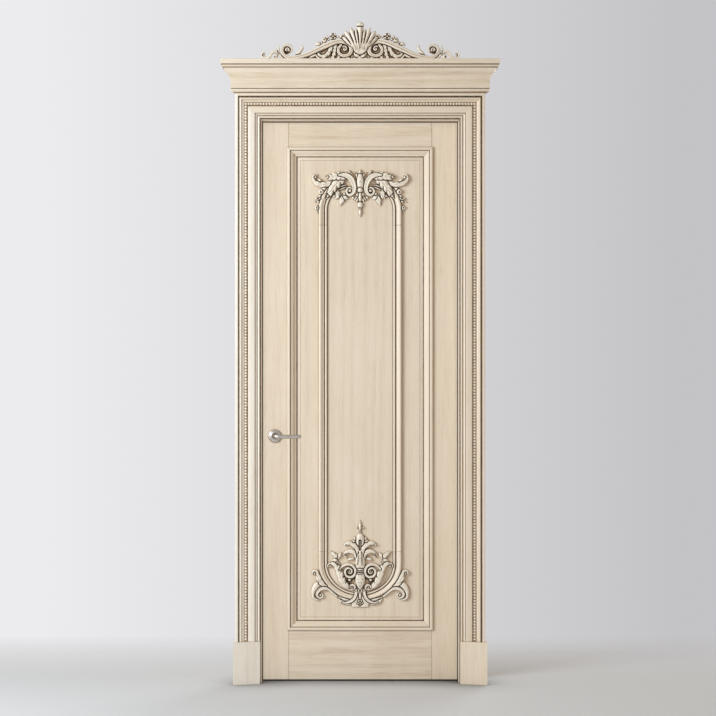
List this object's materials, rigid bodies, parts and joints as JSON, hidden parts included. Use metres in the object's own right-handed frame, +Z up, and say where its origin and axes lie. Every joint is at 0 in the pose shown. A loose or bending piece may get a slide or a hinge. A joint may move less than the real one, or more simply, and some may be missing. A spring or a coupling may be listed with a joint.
{
  "type": "carved wooden door with surround",
  "caption": "Panelled wooden door with applied carved ornaments, set in a lining with moulded casing, plinth blocks, cornice and carved crest.",
  "frame": {"origin": "centre of the back face of the casing head, where it lies on the wall", "axes": "+Z up, +Y into the wall, so the carved front faces -Y; +X to the right seen from the front"},
  "size_m": [1.128, 0.2665, 2.6936],
  "materials": {
    "wood": "pale limed wood with a thin brown glaze, satin",
    "carved_wood": "pale limed wood, brown glaze left in the carving",
    "rubber": "dark brown, matt",
    "nickel": "satin nickel"
  },
  "bodies": {
    "surround": {"lining_left": "wood", "lining_right": "wood", "lining_head": "wood", "seal_left": "rubber", "seal_right": "rubber", "seal_head": "rubber", "casing_left": "wood", "casing_right": "wood", "casing_head": "wood", "plinth_block_left": "wood", "plinth_block_right": "wood", "cornice": "wood", "crest": "carved_wood", "hinge_1_frame": "nickel", "hinge_2_frame": "nickel", "hinge_3_frame": "nickel"},
    "leaf": {"stile_left": "wood", "stile_right": "wood", "rail_top": "wood", "rail_bottom": "wood", "panel": "wood", "panel_moulding_front_left": "wood", "panel_moulding_front_right": "wood", "panel_moulding_front_bottom": "wood", "panel_moulding_front_top": "wood", "panel_moulding_back_left": "wood", "panel_moulding_back_right": "wood", "panel_moulding_back_bottom": "wood", "panel_moulding_back_top": "wood", "panel_strip_left": "carved_wood", "panel_strip_right": "carved_wood", "ornament_bottom": "carved_wood", "ornament_top": "carved_wood", "rosette_front": "nickel", "rosette_back": "nickel", "hinge_1_door": "nickel", "hinge_2_door": "nickel", "hinge_3_door": "nickel"},
    "handle": {"lever_front": "nickel", "lever_back": "nickel", "spindle": "nickel"}
  },
  "joints": [
    {"name": "leaf_hinge", "type": "hinge", "parent": "surround", "child": "leaf", "pos_m": [0.4015, 0.1068, -1.2], "axis": [0, 0, -1], "range_deg": [0, 110]},
    {"name": "handle_turn", "type": "hinge", "parent": "leaf", "child": "handle", "pos_m": [-0.351, 0.08, -1.3485], "axis": [0, 1, 0], "range_deg": [0, 40], "stiffness_Nm_per_rad": 1, "springref_deg": -28.65}
  ]
}
